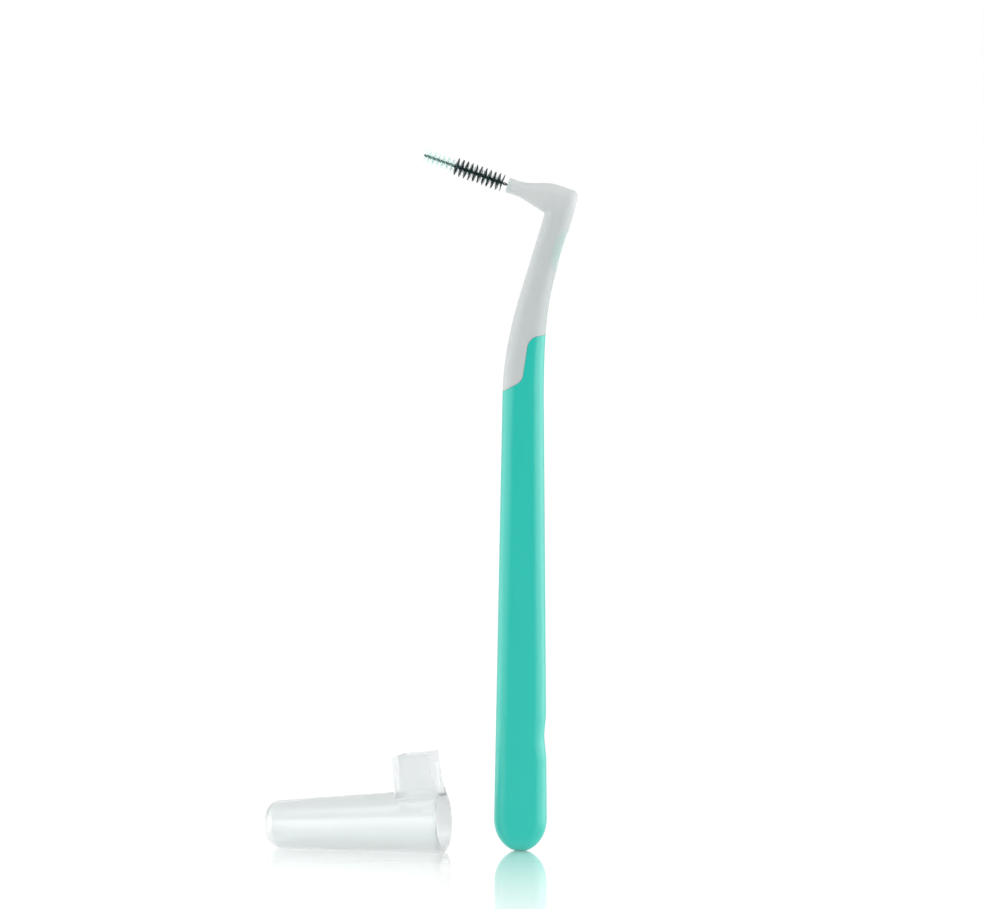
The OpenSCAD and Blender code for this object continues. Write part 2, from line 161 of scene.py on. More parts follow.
class Recipe(Nodes):
    """The node tree of one material, with a principled shader."""

    # Noise levels that count as weak and as strong
    NOISE_SPAN: ClassVar[Span] = (0.25, 0.75)
    # Where a soft region ends and where it is full, as shares of its reach
    RIM_TO_CORE: ClassVar[Span] = (1.15, 0.8)
    # The layer weight's blend, at which its level grows evenly with the slant
    SLANT_BLEND: ClassVar[float] = 0.5

    def __init__(self, name: str) -> None:
        """Start a material of that name.

        Args:
            name: The material's name.
        """
        self.material = bpy.data.materials.new(name)
        self.material.use_nodes = True
        super().__init__(self.material.node_tree)
        self.output = self.add("ShaderNodeOutputMaterial")
        self.shader = self.add("ShaderNodeBsdfPrincipled")
        self.join(self.shader.outputs["BSDF"], self.output.inputs["Surface"])
        self.place = self.add("ShaderNodeTexCoord").outputs["Object"]

    def fix(self, **sockets: object) -> None:
        """Set inputs of the principled shader, named with underscores for spaces.

        Args:
            sockets: The sockets' values.
        """
        for name, value in sockets.items():
            self.shader.inputs[name.replace("_", " ")].default_value = value

    def feed(self, name: str, level: Socket) -> None:
        """Link a socket to the named input of the principled shader."""
        self.join(level, self.shader.inputs[name])

    def grain(
        self, size: float, stretch: Sizes = (1.0, 1.0, 1.0), layers: float = 2.0
    ) -> Socket:
        """Add a noise whose features are about that size.

        Args:
            size: The size of a feature in metres.
            stretch: How much longer the features are along each axis.
            layers: The number of finer layers in the noise.

        Returns:
            The noise's level, from 0 to 1.
        """
        mapping = self.add("ShaderNodeMapping")
        mapping.inputs["Scale"].default_value = [1 / (size * s) for s in stretch]
        self.join(self.place, mapping.inputs["Vector"])
        noise = self.add("ShaderNodeTexNoise")
        noise.inputs["Scale"].default_value = 1.0
        noise.inputs["Detail"].default_value = layers
        self.join(mapping.outputs["Vector"], noise.inputs["Vector"])
        return noise.outputs["Fac"]

    def between(self, noise: Socket, low: float, high: float) -> Socket:
        """Spread a noise over values, from low where it is weak to high where it is strong."""
        return self.spread(noise, self.NOISE_SPAN, (low, high))

    def blend(
        self, level: Socket, first: Colour | Socket, second: Colour | Socket
    ) -> Socket:
        """Mix two colours.

        Args:
            level: The share of the second colour.
            first: The first colour.
            second: The second colour.

        Returns:
            The mixed colour.
        """
        mix = self.add("ShaderNodeMix", data_type="RGBA")
        self.join(level, mix.inputs["Factor"])
        for socket, colour in ((mix.inputs[6], first), (mix.inputs[7], second)):
            if isinstance(colour, bpy.types.NodeSocket):
                self.join(colour, socket)
            else:
                socket.default_value = (*colour, 1.0)
        return mix.outputs[2]

    def relief(self, height: Socket, depth: float) -> None:
        """Give the surface a bump.

        Args:
            height: The level that raises the surface.
            depth: The height in metres between a level of 0 and of 1.
        """
        bump = self.add("ShaderNodeBump")
        bump.inputs["Strength"].default_value = 1.0
        bump.inputs["Distance"].default_value = depth
        self.join(height, bump.inputs["Height"])
        self.feed("Normal", bump.outputs["Normal"])

    def along(self, axis: Axis) -> Socket:
        """Give a point's place along an axis of the part's frame.

        Args:
            axis: The axis.

        Returns:
            The place in metres.
        """
        axes = self.add("ShaderNodeSeparateXYZ")
        self.join(self.place, axes.inputs["Vector"])
        return axes.outputs[axis.value]

    def ramp(self, axis: Axis, span: Span) -> Socket:
        """Rise softly from 0 to 1 over a span of an axis, in metres."""
        return self.spread(self.along(axis), span, rise=Rise.SOFT)

    def slant(self, span: Span) -> Socket:
        """Rise softly from 0 to 1 as the surface turns away from the ray that meets it.

        Args:
            span: The layer weight's levels where the result is 0 and where it is 1.

        Returns:
            The result.
        """
        weight = self.add("ShaderNodeLayerWeight")
        weight.inputs["Blend"].default_value = self.SLANT_BLEND
        return self.spread(weight.outputs["Facing"], span, rise=Rise.SOFT)

    def inside(self, region: SoftRegion) -> Socket:
        """Tell how far a point is inside a soft region.

        Args:
            region: The region.

        Returns:
            A level that is 1 in the region's middle and 0 outside it.
        """
        shift = self.add("ShaderNodeVectorMath", operation="SUBTRACT")
        shift.inputs[1].default_value = region.centre
        self.join(self.place, shift.inputs[0])
        turn = self.add("ShaderNodeVectorRotate", rotation_type="Y_AXIS")
        turn.inputs["Angle"].default_value = math.radians(-region.lean)
        self.join(shift.outputs["Vector"], turn.inputs["Vector"])
        scale = self.add("ShaderNodeVectorMath", operation="DIVIDE")
        scale.inputs[1].default_value = region.reach
        self.join(turn.outputs["Vector"], scale.inputs[0])
        length = self.add("ShaderNodeVectorMath", operation="LENGTH")
        self.join(scale.outputs["Vector"], length.inputs[0])
        return self.spread(length.outputs["Value"], self.RIM_TO_CORE, rise=Rise.SOFT)


@dataclass(frozen=True, kw_only=True)
class MouldedPlastic:
    """A solid-coloured moulded plastic with faint flow marks and a fine spark-eroded grain."""

    name: str
    colour: Colour
    streak: Colour
    roughness: float
    roughness_spread: float = 0.03
    refraction: float = 1.54
    glow: float = 0.0
    glow_depth: float = 1.2 * MM
    glow_reach: Colour = (0.9, 1.0, 1.0)
    flow_size: float = 6 * MM
    flow_stretch: Sizes = (1.0, 1.0, 5.0)
    sheen_size: float = 1.1 * MM
    sheen_stretch: Sizes = (1.0, 1.0, 3.0)
    grain_size: float = 0.14 * MM
    grain_layers: float = 1.0
    grain_depth: float = 0.003 * MM

    def material(self) -> bpy.types.Material:
        """Make the material.

        Returns:
            The finished material.
        """
        made = Recipe(self.name)
        made.feed("Base Color", self.tone(made))
        sheen = made.grain(self.sheen_size, self.sheen_stretch)
        spread = self.roughness_spread
        made.feed(
            "Roughness",
            made.between(sheen, self.roughness - spread, self.roughness + spread),
        )
        made.relief(made.grain(self.grain_size, layers=self.grain_layers), self.grain_depth)
        made.fix(
            IOR=self.refraction,
            Subsurface_Weight=self.glow,
            Subsurface_Scale=self.glow_depth,
            Subsurface_Radius=self.glow_reach,
        )
        return made.material

    def tone(self, made: Recipe) -> Socket:
        """Give the plastic's colour.

        Args:
            made: The plastic's node tree.

        Returns:
            The colour.
        """
        flow = made.grain(self.flow_size, self.flow_stretch)
        return made.blend(flow, self.colour, self.streak)


@dataclass(frozen=True, kw_only=True)
class NeckPlastic(MouldedPlastic):
    """The neck's milky plastic, with painted top light that makes it paler at the elbow and
    nose, mintier and a little darker along the stem's back edge, mintier at the nose end, and
    mint with painted shade in its recess, where the green shows through the thin wall.
    """

    # Painted top light: the paler colour of the top-facing elbow and nose, and the heights over
    # which the neck turns to it
    painted_top_light: Colour
    painted_top_light_span: Span
    patches: tuple[TonePatch, ...]

    def tone(self, made: Recipe) -> Socket:
        """Give the plastic's colour.

        Args:
            made: The plastic's node tree.

        Returns:
            The colour.
        """
        # Painted top light: the neck turns paler above the elbow, where light from above falls
        # on it
        painted_top_light = made.ramp(Axis.Z, self.painted_top_light_span)
        tone = made.blend(painted_top_light, super().tone(made), self.painted_top_light)
        for patch in self.patches:
            tone = made.blend(made.inside(patch.region), tone, patch.colour)
        return tone


@dataclass(frozen=True, kw_only=True)
class ClearPlastic:
    """The cap's clear plastic: hazy inside, smooth outside, with painted shade that makes it
    greyer at its clip and mouth.
    """

    name: str
    tint: Colour
    haze: Colour
    straight: Colour
    # Painted shade: the greyer colour of the clip
    clip: Colour
    # Painted shade: the greyer colour of the mouth, where the inside of the tube shows darker
    mouth: Colour
    straight_span: Span = (0.012, 0.06)
    painted_clip_shade_span: Span = (11.0 * MM, 12.6 * MM)
    painted_mouth_shade_span: Span = (-17.5 * MM, -15.3 * MM)
    clarity: float = 0.9
    refraction: float = 1.49
    coat: float = 0.6
    coat_roughness: float = 0.06
    roughness: float = 0.3
    roughness_spread: float = 0.012
    roughness_size: float = 4 * MM
    flow_size: float = 5 * MM
    flow_stretch: Sizes = (3.0, 1.0, 1.0)
    ripple_size: float = 0.9 * MM
    ripple_depth: float = 0.004 * MM
    passed: float = 0.85

    def material(self) -> bpy.types.Material:
        """Make the material.

        Returns:
            The finished material.
        """
        made = Recipe(self.name)
        made.feed("Base Color", self.tone(made))
        cloud = made.grain(self.roughness_size)
        spread = self.roughness_spread
        made.feed(
            "Roughness",
            made.between(cloud, self.roughness - spread, self.roughness + spread),
        )
        made.relief(made.grain(self.ripple_size), self.ripple_depth)
        made.fix(
            IOR=self.refraction,
            Transmission_Weight=self.clarity,
            Coat_Weight=self.coat,
            Coat_Roughness=self.coat_roughness,
        )
        made.feed("Alpha", self.shade(made))
        return made.material

    def tone(self, made: Recipe) -> Socket:
        """Give the plastic's colour, palest where a ray meets it straight on, with painted
        shade at the clip and mouth.

        Args:
            made: The plastic's node tree.

        Returns:
            The colour.
        """
        flow = made.grain(self.flow_size, self.flow_stretch)
        tone = made.blend(flow, self.tint, self.haze)
        tone = made.blend(made.slant(self.straight_span), self.straight, tone)
        # Painted shade at the mouth, where the inside of the tube shows darker
        tone = made.blend(made.ramp(Axis.X, self.painted_mouth_shade_span), tone, self.mouth)
        # Painted shade at the clip
        return made.blend(made.ramp(Axis.Z, self.painted_clip_shade_span), tone, self.clip)

    def shade(self, made: Recipe) -> Socket:
        """Let the plastic throw a pale shadow, as a thin clear wall does.

        Args:
            made: The plastic's node tree.

        Returns:
            The opacity, which is lower for the rays that test for shadow.
        """
        ray = made.add("ShaderNodeLightPath")
        opacity = (1.0, 1.0 - self.passed)
        return made.spread(ray.outputs["Is Shadow Ray"], (0.0, 1.0), opacity)


@dataclass(frozen=True, kw_only=True)
class DrawnWire:
    """Fine drawn steel wire with a thin coat, with painted shade that darkens it outside the
    clear filaments, among the black ones and at the nose.
    """

    name: str
    colour: Colour
    streak: Colour
    # Painted shade: the wire's colour outside the clear filaments, and the region along them
    # where it keeps its own colour
    painted_shade: Colour
    unshaded_part: SoftRegion
    metal: float = 0.85
    roughness: float = 0.26
    roughness_spread: float = 0.06
    mark_size: float = 0.08 * MM
    grain_size: float = 0.05 * MM
    grain_depth: float = 0.002 * MM

    def material(self) -> bpy.types.Material:
        """Make the material.

        Returns:
            The finished material.
        """
        made = Recipe(self.name)
        marks = made.grain(self.mark_size)
        steel = made.blend(marks, self.colour, self.streak)
        # Painted shade darkens the wire outside the region of the clear filaments
        made.feed("Base Color", made.blend(made.inside(self.unshaded_part), self.painted_shade, steel))
        spread = self.roughness_spread
        made.feed(
            "Roughness",
            made.between(marks, self.roughness - spread, self.roughness + spread),
        )
        made.relief(made.grain(self.grain_size), self.grain_depth)
        made.fix(Metallic=self.metal)
        return made.material


@dataclass(frozen=True, kw_only=True)
class Nylon:
    """Drawn nylon filament, black or clear."""

    name: str
    colour: Colour
    other: Colour
    body: float = 1.0
    refraction: float = 1.53
    roughness: float = 0.35
    smoother: float = 0.05
    rougher: float = 0.08
    tone_size: float = 0.3 * MM
    grain_size: float = 0.04 * MM
    grain_depth: float = 0.001 * MM

    def material(self) -> bpy.types.Material:
        """Make the material.

        Returns:
            The finished material.
        """
        made = Recipe(self.name)
        tone = made.grain(self.tone_size)
        made.feed("Base Color", made.blend(tone, self.colour, self.other))
        made.feed(
            "Roughness",
            made.between(tone, self.roughness - self.smoother, self.roughness + self.rougher),
        )
        made.relief(made.grain(self.grain_size), self.grain_depth)
        made.fix(IOR=self.refraction, Alpha=self.body)
        return made.material


@dataclass(frozen=True)
class GlossyFloor:
    """White acrylic that mirrors what stands on it, faintly lit from below behind the part."""

    name: str = "studio_floor"
    white: Colour = (0.80, 0.80, 0.80)
    dust_share: float = 0.995
    dust_size: float = 40 * MM
    refraction: float = 1.5
    blur: float = 0.05
    fade: float = 0.115
    far_share: float = 0.50
    near_share: float = 1.5
    far_glow: float = 0.02
    near_glow: float = 0.36

    def material(self) -> bpy.types.Material:
        """Make the material.

        Returns:
            The finished material.
        """
        made = Recipe(self.name)
        made.fix(Roughness=1.0, Specular_IOR_Level=0.0)
        dusty = tuple(level * self.dust_share for level in self.white)
        made.feed("Base Color", made.blend(made.grain(self.dust_size), self.white, dusty))
        made.feed("Emission Strength", self.by_depth(made, self.far_glow, self.near_glow))
        mirror = made.add("ShaderNodeBsdfGlossy")
        mirror.inputs["Roughness"].default_value = self.blur
        mirror.inputs["Color"].default_value = PURE_WHITE
        gloss = made.add("ShaderNodeFresnel")
        gloss.inputs["IOR"].default_value = self.refraction
        share = made.add("ShaderNodeMath", operation="MULTIPLY", use_clamp=True)
        made.join(gloss.outputs["Fac"], share.inputs[0])
        made.join(self.by_depth(made, self.far_share, self.near_share), share.inputs[1])
        mix = made.add("ShaderNodeMixShader")
        made.join(share.outputs["Value"], mix.inputs["Fac"])
        made.join(made.shader.outputs["BSDF"], mix.inputs[1])
        made.join(mirror.outputs["BSDF"], mix.inputs[2])
        made.join(mix.outputs["Shader"], made.output.inputs["Surface"])
        return made.material

    def by_depth(self, made: Recipe, far: float, near: float) -> Socket:
        """Run a value over the floor in front of the part.

        Args:
            made: The floor's node tree.
            far: The value at the fade's length in front of the part, and beyond.
            near: The value under the part and behind it.

        Returns:
            The value.
        """
        return made.spread(made.along(Axis.Y), (-self.fade, 0.0), (far, near))


GRIP_GREEN = MouldedPlastic(
    name="grip_green",
    colour=(0.003, 0.382, 0.313),
    streak=(0.005, 0.400, 0.330),
    roughness=0.31,
)
STEM_BACK = TonePatch(
    (0.352, 0.394, 0.389),
    SoftRegion((6.7 * MM, 0.0, 107.5 * MM), (1.7 * MM, 3.4 * MM, 18.0 * MM), lean=13.0),
)
NOSE_END = TonePatch(
    (0.420, 0.472, 0.462),
    SoftRegion((-2.6 * MM, 0.0, 129.3 * MM), (0.9 * MM, 3.0 * MM, 2.6 * MM)),
)
# The stem's recess: mint where the green shows through the thin wall, and darker with painted
# shade in the hollow
RECESS_MINT_AND_SHADE = TonePatch(
    (0.338, 0.430, 0.410),
    SoftRegion((7.3 * MM, 0.0, 117.0 * MM), (1.5 * MM, 3.2 * MM, 4.6 * MM), lean=16.8),
)
NECK_WHITE = NeckPlastic(
    name="neck_white",
    colour=(0.398, 0.423, 0.426),
    streak=(0.412, 0.436, 0.438),
    roughness=0.50,
    glow=0.35,
    # Painted top light on the top-facing elbow and nose
    painted_top_light=(0.455, 0.478, 0.477),
    painted_top_light_span=(122.5 * MM, 128.0 * MM),
    patches=(STEM_BACK, NOSE_END, RECESS_MINT_AND_SHADE),
)
CAP_CLEAR = ClearPlastic(
    name="cap_clear",
    tint=(0.77, 0.805, 0.80),
    haze=(0.75, 0.785, 0.78),
    straight=(0.89, 0.902, 0.903),
    # Painted shade at the clip and mouth
    clip=(0.765, 0.785, 0.79),
    mouth=(0.66, 0.68, 0.68),
)
WIRE_STEEL = DrawnWire(
    name="wire_steel",
    colour=(0.11, 0.20, 0.185),
    streak=(0.05, 0.12, 0.11),
    # Painted shade among the black filaments and at the nose; the wire keeps its own colour
    # only along the clear ones
    painted_shade=(0.02, 0.05, 0.05),
    unshaded_part=SoftRegion((-15.7 * MM, 0.0, 134.2 * MM), (3.9 * MM, 4.0 * MM, 4.0 * MM)),
)
NYLON_BLACK = Nylon(
    name="nylon_black",
    colour=(0.003, 0.020, 0.022),
    other=(0.008, 0.042, 0.045),
)
NYLON_CLEAR = Nylon(
    name="nylon_clear",
    colour=(0.71, 0.90, 0.865),
    other=(0.64, 0.86, 0.815),
    body=0.50,
    roughness=0.2,
)


def new_piece(
    name: str,
    points: list[Vector],
    faces: Faces,
    material: bpy.types.Material,
    smooth: bool = True,
) -> bpy.types.Object:
    """Make a mesh object from points and faces.

    Args:
        name: The object's name.
        points: The vertices.
        faces: The faces, as tuples of vertex numbers.
        material: The finish.
        smooth: Whether the faces shade smoothly.

    Returns:
        The object, linked to the scene.
    """
    mesh = bpy.data.meshes.new(name)
    mesh.from_pydata([tuple(p) for p in points], [], faces)
    mesh.polygons.foreach_set("use_smooth", [smooth] * len(mesh.polygons))
    mesh.materials.append(material)
    mesh.update()
    piece = bpy.data.objects.new(name, mesh)
    bpy.context.scene.collection.objects.link(piece)
    return piece


def tube_faces(rings: int, sides: int, start: int = 0) -> Faces:
    """List the faces of a closed tube whose rings follow each other.

    Args:
        rings: The number of rings.
        sides: The points of a ring.
        start: The number of the tube's first vertex.

    Returns:
        The side faces and the two end faces.
    """
    faces: Faces = []
    for k in range(rings - 1):
        low, high = start + k * sides, start + (k + 1) * sides
        for i in range(sides):
            j = (i + 1) % sides
            faces.append((low + i, low + j, high + j, high + i))
    last = start + (rings - 1) * sides
    faces.append(tuple(start + i for i in reversed(range(sides))))
    faces.append(tuple(last + i for i in range(sides)))
    return faces


@dataclass
class HeadAxis:
    """The line that the twisted wire runs along, from the nose tip outwards."""

    origin: Vector
    along: Vector
    across: Vector = field(default_factory=lambda: Vector((0.0, 1.0, 0.0)))

    @classmethod
    def of_wire(cls, wire: bpy.types.Object, free: float) -> "HeadAxis":
        """Find the axis from the CAD wire.

        Args:
            wire: The wire's CAD node.
            free: The length of wire outside the nose.

        Returns:
            The axis, with its origin at the nose tip.
        """
        co = np.empty(len(wire.data.vertices) * 3)
        wire.data.vertices.foreach_get("co", co)
        co = co.reshape(-1, 3)
        middle = co.mean(0)
        along = np.linalg.svd(co - middle, full_matrices=False)[2][0]
        along *= -np.sign(along[0])
        along[1] = 0.0
        along /= np.linalg.norm(along)
        reach = ((co - middle) @ along).max()
        return cls(Vector(middle + along * (reach - free)), Vector(along))

    @property
    def up(self) -> Vector:
        """The direction square to the axis that points away from the floor."""
        return self.across.cross(self.along)

    def spot(self, distance: float) -> Vector:
        """Return the point of the axis at that distance from the nose tip."""
        return self.origin + self.along * distance

    def spoke(self, angle: float) -> Vector:
        """Return the unit vector square to the axis at that turn from straight up."""
        return self.up * math.cos(angle) + self.across * math.sin(angle)


@dataclass
class TwistedWire:
    """One steel wire, folded at the tip, with its two legs twisted round each other."""

    diameter: float = 0.26 * MM
    leg_radius: float = 0.18 * MM
    pitch: float = 1.88 * MM
    bare: float = 1.0 * MM
    free: float = 17.2 * MM
    tail: float = 8.2 * MM
    sides: int = 12
    rings_per_turn: int = 28
    fold_rings: int = 9

    def turn(self, distance: float) -> float:
        """Return the filaments' turn at that distance from the nose tip, in radians."""
        return FULL_TURN * (distance - self.bare) / self.pitch

    def centre_line(self, axis: HeadAxis) -> list[tuple[Vector, Vector]]:
        """Lay out the wire's middle, up one leg, round the fold and down the other.

        Args:
            axis: The line that the legs twist round.

        Returns:
            For each ring its middle and the direction away from the axis.
        """
        end = self.free - self.leg_radius - self.diameter / 2
        count = math.ceil((end + self.tail) / self.pitch * self.rings_per_turn)
        quarter = math.pi / 2
        line: list[tuple[Vector, Vector]] = []
        for i in range(count + 1):
            at = -self.tail + (end + self.tail) * i / count
            out = axis.spoke(self.turn(at) + quarter)
            line.append((axis.spot(at) + out * self.leg_radius, out))
        start_out = line[-1][1]
        for i in range(1, self.fold_rings):
            angle = math.pi * i / self.fold_rings
            out = start_out * math.cos(angle) + axis.along * math.sin(angle)
            line.append((axis.spot(end) + out * self.leg_radius, out))
        for i in range(count, -1, -1):
            at = -self.tail + (end + self.tail) * i / count
            out = axis.spoke(self.turn(at) - quarter)
            line.append((axis.spot(at) + out * self.leg_radius, out))
        return line

    def build(self, axis: HeadAxis, finish: DrawnWire) -> bpy.types.Object:
        """Make the wire and put it in place of its CAD node.

        Args:
            axis: The line that the legs twist round.
            finish: The wire's finish.

        Returns:
            The wire.
        """
        line = self.centre_line(axis)
        points: list[Vector] = []
        for k, (middle, out) in enumerate(line):
            step = line[min(k + 1, len(line) - 1)][0] - line[max(k - 1, 0)][0]
            side = step.cross(out).normalized()
            lift = side.cross(step).normalized()
            for i in range(self.sides):
                angle = FULL_TURN * i / self.sides
                spoke = lift * math.cos(angle) + side * math.sin(angle)
                points.append(middle + spoke * (self.diameter / 2))
        piece = new_piece(
            "twisted_wire", points, tube_faces(len(line), self.sides), finish.material()
        )
        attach(piece, Body.BRUSH.value)
        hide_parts("wire")
        return piece


@dataclass
class FilamentSection:
    """One group of filaments, held by their middles and wound like a spiral stair."""

    section: Section
    start: float
    length: float
    radius: float
    thickness: float
    per_turn: int
    seed: int
    sides: int = 5
    bunches_per_turn: int = 4
    bunching: float = 0.74
    length_spread: float = 0.16
    turn_spread: float = 0.09
    lean_spread: float = 0.05
    tip_share: float = 0.45
    ring_shares: tuple[float, ...] = (-1.0, -0.96, -0.6, -0.2, 0.0, 0.2, 0.6, 0.96, 1.0)

    def build(
        self, axis: HeadAxis, wire: TwistedWire, finish: Nylon, slot: str
    ) -> bpy.types.Object:
        """Make the filaments and put them in place of their CAD node.

        Args:
            axis: The head's axis.
            wire: The wire that holds them.
            finish: The filaments' finish.
            slot: Not used.

        Returns:
            The group of filaments.
        """
        chance = np.random.default_rng(self.seed)
        count = round(self.length / wire.pitch * self.per_turn)
        margin = self.thickness
        points: list[Vector] = []
        faces: Faces = []
        for k in range(count):
            at = self.start + margin + (self.length - 2 * margin) * (k + 0.5) / count
            at = self.bunched(wire, at)
            faces += tube_faces(len(self.ring_shares), self.sides, len(points))
            points += self.filament(axis, wire.turn(at), at, chance)
        piece = new_piece(
            f"{self.section.value}_filaments", points, faces, finish.material()
        )
        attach(piece, Body.BRUSH.value)
        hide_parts(self.section.value)
        return piece

    def bunched(self, wire: TwistedWire, at: float) -> float:
        """Move a filament towards the nearest bunch.

        Args:
            wire: The wire that holds it.
            at: Its distance from the nose tip if filaments were evenly spread.

        Returns:
            Its distance from the nose tip.
        """
        swing = math.sin(self.bunches_per_turn * wire.turn(at))
        moved = at - self.bunching * swing * wire.pitch / (FULL_TURN * self.bunches_per_turn)
        low = self.start + self.thickness / 2
        high = self.start + self.length - self.thickness / 2
        return min(max(moved, low), high)

    def filament(
        self, axis: HeadAxis, turn: float, at: float, chance: np.random.Generator
    ) -> list[Vector]:
        """Lay out one filament, from one tip through the wire to the other.

        Args:
            axis: The head's axis.
            turn: The filament's turn about the axis, in radians.
            at: Its distance from the nose tip.
            chance: The source of its small differences.

        Returns:
            The points of its rings.
        """
        reach = self.radius * (1 - self.length_spread * chance.random(2))
        turns = turn + self.turn_spread * chance.uniform(-1, 1, 2)
        leans = self.lean_spread * chance.uniform(-1, 1, 2)
        ends = [
            axis.spoke(turns[0]) + axis.along * leans[0],
            -axis.spoke(turns[1]) + axis.along * leans[1],
        ]
        ends = [end.normalized() * length for end, length in zip(ends, reach)]
        straight = (ends[0] - ends[1]).normalized()
        side = straight.cross(axis.along).normalized()
        lift = side.cross(straight).normalized()
        points: list[Vector] = []
        for share in self.ring_shares:
            end = ends[0] if share >= 0 else ends[1]
            thin = self.tip_share if abs(share) == 1.0 else 1.0
            middle = axis.spot(at) + end * abs(share)
            for i in range(self.sides):
                angle = FULL_TURN * i / self.sides
                spoke = side * math.cos(angle) - lift * math.sin(angle)
                points.append(middle + spoke * (self.thickness / 2 * thin))
        return points


@dataclass
class Dresser:
    """Gives a carried-over CAD node its finish and smooth shading."""

    smooth_angle: float = 32.0
    weld: float = 0.001 * MM
    face_weight: int = 60

    def group(self) -> bpy.types.NodeTree:
        """Make the node group that joins split faces and keeps only true edges sharp.

        Returns:
            The group, the same one at each call.
        """
        name = "smooth_faces"
        if name in bpy.data.node_groups:
            return bpy.data.node_groups[name]
        tree = bpy.data.node_groups.new(name, "GeometryNodeTree")
        for way in ("INPUT", "OUTPUT"):
            tree.interface.new_socket("Geometry", in_out=way, socket_type="NodeSocketGeometry")
        made = Nodes(tree)
        angle = made.add("GeometryNodeInputMeshEdgeAngle")
        sharp = made.add("FunctionNodeCompare", data_type="FLOAT", operation="GREATER_THAN")
        sharp.inputs[1].default_value = math.radians(self.smooth_angle)
        made.join(angle.outputs["Unsigned Angle"], sharp.inputs[0])
        source = made.add("NodeGroupInput")
        step = made.add("GeometryNodeMergeByDistance")
        step.inputs["Distance"].default_value = self.weld
        made.join(source.outputs[0], step.inputs["Geometry"])
        for domain, smooth in (("FACE", True), ("EDGE", True), ("EDGE", False)):
            shape = step.outputs["Geometry"]
            step = made.add("GeometryNodeSetShadeSmooth", domain=domain)
            step.inputs["Shade Smooth"].default_value = smooth
            made.join(shape, step.inputs["Geometry"])
        made.join(sharp.outputs["Result"], step.inputs["Selection"])
        sink = made.add("NodeGroupOutput")
        made.join(step.outputs["Geometry"], sink.inputs[0])
        return tree

    def dress(self, node: str, material: bpy.types.Material) -> bpy.types.Object:
        """Dress one CAD node.

        Args:
            node: The node's name.
            material: Its finish.

        Returns:
            The node's object.
        """
        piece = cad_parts[node]
        for held in piece.material_slots:
            held.material = material
        normals = piece.data.attributes.get("custom_normal")
        if normals is not None:
            piece.data.attributes.remove(normals)
        shade = piece.modifiers.new("smooth_faces", "NODES")
        shade.node_group = self.group()
        even = piece.modifiers.new("even_normals", "WEIGHTED_NORMAL")
        even.keep_sharp = True
        even.weight = self.face_weight
        return piece


@dataclass(frozen=True, kw_only=True)
class Softbox:
    """An upright soft light that faces the part.

    Its bearing is its turn from the camera's side towards the right, and its tip is how far it
    looks down, both in degrees.
    """

    name: str
    bearing: float
    distance: float
    width: float
    height: float
    lift: float
    glow: float
    tip: float = 0.0

    def build(self) -> bpy.types.Object:
        """Make the light.

        Returns:
            The light's object.
        """
        data = bpy.data.lights.new(self.name, "AREA")
        data.shape = "RECTANGLE"
        data.size = self.width
        data.size_y = self.height
        data.energy = self.glow * math.pi * self.width * self.height
        lamp = bpy.data.objects.new(self.name, data)
        turn = math.radians(self.bearing)
        lamp.location = (
            self.distance * math.sin(turn),
            -self.distance * math.cos(turn),
            self.lift,
        )
        lamp.rotation_euler = (math.pi / 2 - math.radians(self.tip), 0.0, turn)
        lamp.visible_camera = False
        bpy.context.scene.collection.objects.link(lamp)
        return lamp


SOFTBOXES = (
    Softbox(
        name="right_softbox",
        bearing=78.0,
        distance=0.66,
        width=1.30,
        height=0.26,
        lift=0.12,
        glow=3.5,
    ),
    Softbox(
        name="left_softbox",
        bearing=-76.0,
        distance=0.62,
        width=1.30,
        height=0.30,
        lift=0.14,
        glow=2.15,
    ),
    Softbox(
        name="front_softbox",
        bearing=-10.0,
        distance=0.60,
        width=1.20,
        height=0.70,
        lift=0.90,
        glow=1.7,
        tip=56.0,
    ),
)


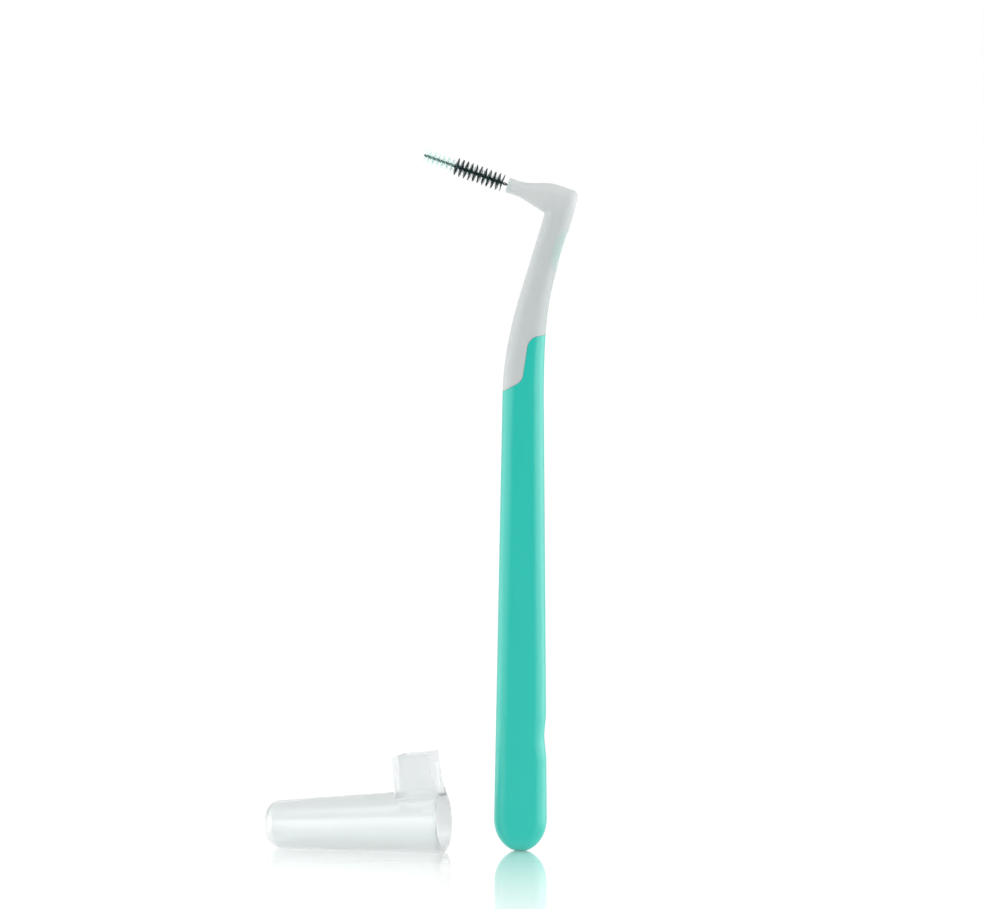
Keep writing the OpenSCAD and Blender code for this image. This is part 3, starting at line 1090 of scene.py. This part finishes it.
@dataclass
class Studio:
    """A white room with a glossy white floor, soft lights and the camera."""

    look_at: Place = (-5.5 * MM, 0.0, 77.19 * MM)
    frame_width: float = 190.97 * MM
    elevation: float = 3.0
    lens: float = 250.0
    sensor: float = 36.0
    view_depth: float = 20.0
    floor_half: float = 3.0
    front_light: float = 0.08
    back_light: float = 1.05
    top_share: float = 0.8
    light_span: Span = (-1.0, 0.4)

    def clear(self) -> None:
        """Remove what a new Blender file starts with."""
        for name in ("Cube", "Light", "Camera"):
            if name in bpy.data.objects:
                bpy.data.objects.remove(bpy.data.objects[name], do_unlink=True)

    def build(self) -> None:
        """Make the floor, the room's light, the lamps and the camera."""
        self.floor()
        self.room()
        for softbox in SOFTBOXES:
            lamp = softbox.build()
            LOG.info("built %s", lamp.name)
        self.camera()

    def floor(self) -> None:
        """Lay the floor under the part."""
        half = self.floor_half
        signs = ((-1, -1), (1, -1), (1, 1), (-1, 1))
        corners = [Vector((x * half, y * half, 0.0)) for x, y in signs]
        new_piece("floor", corners, [(0, 1, 2, 3)], GlossyFloor().material(), False)

    def room(self) -> None:
        """Light the part from a white room that is dimmer on the camera's side."""
        world = bpy.data.worlds.new("white_room")
        bpy.context.scene.world = world
        world.use_nodes = True
        made = Nodes(world.node_tree)
        place = made.add("ShaderNodeTexCoord")
        lean = made.add("ShaderNodeVectorMath", operation="DOT_PRODUCT")
        lean.inputs[1].default_value = (0.0, 1.0, self.top_share)
        made.join(place.outputs["Generated"], lean.inputs[0])
        light = made.add("ShaderNodeBackground")
        light.inputs["Color"].default_value = PURE_WHITE
        strengths = (self.front_light, self.back_light)
        level = made.spread(lean.outputs["Value"], self.light_span, strengths, Rise.SOFT)
        made.join(level, light.inputs["Strength"])
        white = made.add("ShaderNodeBackground")
        white.inputs["Color"].default_value = PURE_WHITE
        ray = made.add("ShaderNodeLightPath")
        mix = made.add("ShaderNodeMixShader")
        made.join(ray.outputs["Is Camera Ray"], mix.inputs["Fac"])
        made.join(light.outputs["Background"], mix.inputs[1])
        made.join(white.outputs["Background"], mix.inputs[2])
        sink = made.add("ShaderNodeOutputWorld")
        made.join(mix.outputs["Shader"], sink.inputs["Surface"])

    def camera(self) -> None:
        """Set the camera at the photo's viewing angle and show colours as they are."""
        data = bpy.data.cameras.new("camera")
        data.lens = self.lens
        data.sensor_width = self.sensor
        data.clip_end = self.view_depth
        distance = self.frame_width / self.sensor * self.lens
        tilt = math.radians(self.elevation)
        camera = bpy.data.objects.new("camera", data)
        camera.location = Vector(self.look_at) + distance * Vector(
            (0.0, -math.cos(tilt), math.sin(tilt))
        )
        camera.rotation_euler = (math.pi / 2 - tilt, 0.0, 0.0)
        bpy.context.scene.collection.objects.link(camera)
        bpy.context.scene.camera = camera
        bpy.context.scene.view_settings.view_transform = "Standard"


@dataclass
class Brush:
    """The brush: its two-shot handle, the twisted wire and the two groups of filaments."""

    wire: TwistedWire = field(default_factory=TwistedWire)
    black_length: float = 9.95 * MM
    black_radius: float = 1.8 * MM
    black_thickness: float = 0.06 * MM
    black_per_turn: int = 76
    clear_length: float = 5.9 * MM
    clear_radius: float = 1.4 * MM
    clear_thickness: float = 0.042 * MM
    clear_per_turn: int = 80
    section_gap: float = 0.06 * MM

    def sections(self) -> list[tuple[FilamentSection, Nylon, str]]:
        """Lay out the two groups of filaments.

        Returns:
            Each group with its finish and a slot name that nothing uses.
        """
        black = FilamentSection(
            Section.BLACK,
            start=self.wire.bare,
            length=self.black_length,
            radius=self.black_radius,
            thickness=self.black_thickness,
            per_turn=self.black_per_turn,
            seed=11,
        )
        clear = FilamentSection(
            Section.CLEAR,
            start=black.start + black.length + self.section_gap,
            length=self.clear_length,
            radius=self.clear_radius,
            thickness=self.clear_thickness,
            per_turn=self.clear_per_turn,
            seed=12,
        )
        return [(black, NYLON_BLACK, "nylon_black"), (clear, NYLON_CLEAR, "nylon_clear")]

    def build(self, dresser: Dresser) -> None:
        """Dress the handle and build the head.

        Args:
            dresser: What dresses the carried-over nodes.
        """
        for node, finish in (("handle_grip", GRIP_GREEN), ("neck", NECK_WHITE)):
            piece = dresser.dress(node, finish.material())
            LOG.info("dressed %s on the body %s", piece.name, Body.BRUSH.value)
        axis = HeadAxis.of_wire(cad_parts["wire"], self.wire.free)
        piece = self.wire.build(axis, WIRE_STEEL)
        LOG.info("built %s with %d faces", piece.name, len(piece.data.polygons))
        for group, finish, slot in self.sections():
            piece = group.build(axis, self.wire, finish, slot)
            LOG.info("built %s with %d faces", piece.name, len(piece.data.polygons))


@dataclass
class TravelCap:
    """The clear cap that lies beside the brush."""

    node: str = "cap"

    def build(self, dresser: Dresser) -> None:
        """Dress the cap.

        Args:
            dresser: What dresses the carried-over nodes.
        """
        piece = dresser.dress(self.node, CAP_CLEAR.material())
        LOG.info("dressed %s on the body %s", piece.name, Body.CAP.value)


def main() -> None:
    """Build the brush, its cap and the studio, in that order."""
    logging.basicConfig(level=logging.INFO, format="%(name)s: %(message)s")
    studio = Studio()
    studio.clear()
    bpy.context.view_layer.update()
    dresser = Dresser()
    Brush().build(dresser)
    TravelCap().build(dresser)
    studio.build()
    LOG.info("built the studio")
    bpy.context.view_layer.update()


if __name__ == "__main__":
    main()
